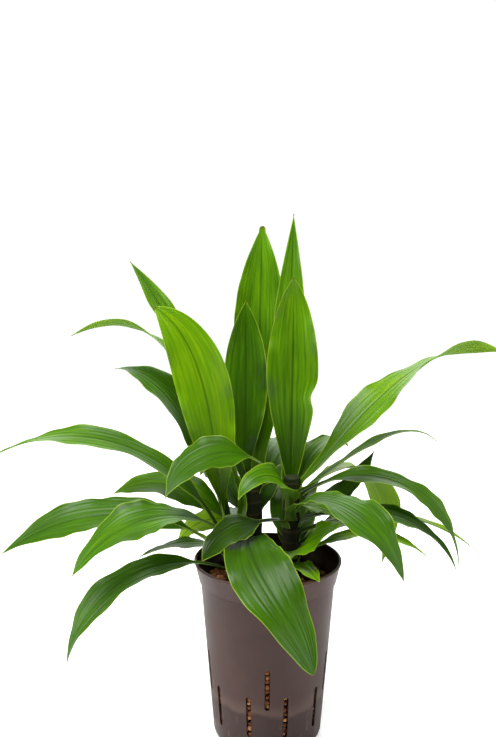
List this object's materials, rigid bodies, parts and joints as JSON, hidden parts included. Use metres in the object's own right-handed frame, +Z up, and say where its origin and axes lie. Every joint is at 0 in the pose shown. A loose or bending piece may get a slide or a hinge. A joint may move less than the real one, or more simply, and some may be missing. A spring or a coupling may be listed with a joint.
{
  "type": "potted dracaena",
  "caption": "Leafy green dracaena on upright canes in a tapered plastic culture pot with upright slots, filled with clay granules; stands on a table or in a planter.",
  "frame": {"origin": "centre of the pot's flat underside, on the surface that it stands on", "axes": "+Z up along the pot's axis, +X to the right as seen from the front, +Y to the back"},
  "size_m": [0.5582, 0.3843, 0.5362],
  "materials": {
    "pot_plastic": "satin moulded taupe brown",
    "fired_clay": "rough unglazed granules",
    "cane": "dull green-brown bark with pale rings",
    "leaf": "glossy green with thin lime margins"
  },
  "bodies": {
    "root": {"pot": "pot_plastic", "clay_granules": "fired_clay", "stem_left": "cane", "stem_right": "cane", "stem_back": "cane", "leaf_01": "leaf", "leaf_02": "leaf", "leaf_03": "leaf", "leaf_04": "leaf", "leaf_05": "leaf", "leaf_06": "leaf", "leaf_07": "leaf", "leaf_08": "leaf", "leaf_09": "leaf", "leaf_10": "leaf", "leaf_11": "leaf", "leaf_12": "leaf", "leaf_13": "leaf", "leaf_14": "leaf", "leaf_15": "leaf", "leaf_16": "leaf", "leaf_17": "leaf", "leaf_18": "leaf", "leaf_19": "leaf", "leaf_20": "leaf", "leaf_21": "leaf", "leaf_22": "leaf", "leaf_23": "leaf", "leaf_24": "leaf", "leaf_25": "leaf", "leaf_26": "leaf", "leaf_27": "leaf", "leaf_28": "leaf", "leaf_29": "leaf", "leaf_30": "leaf", "leaf_31": "leaf", "leaf_32": "leaf", "leaf_33": "leaf", "leaf_34": "leaf", "leaf_35": "leaf", "leaf_36": "leaf", "leaf_37": "leaf", "leaf_38": "leaf", "leaf_39": "leaf", "leaf_40": "leaf", "leaf_41": "leaf"}
  },
  "joints": []
}
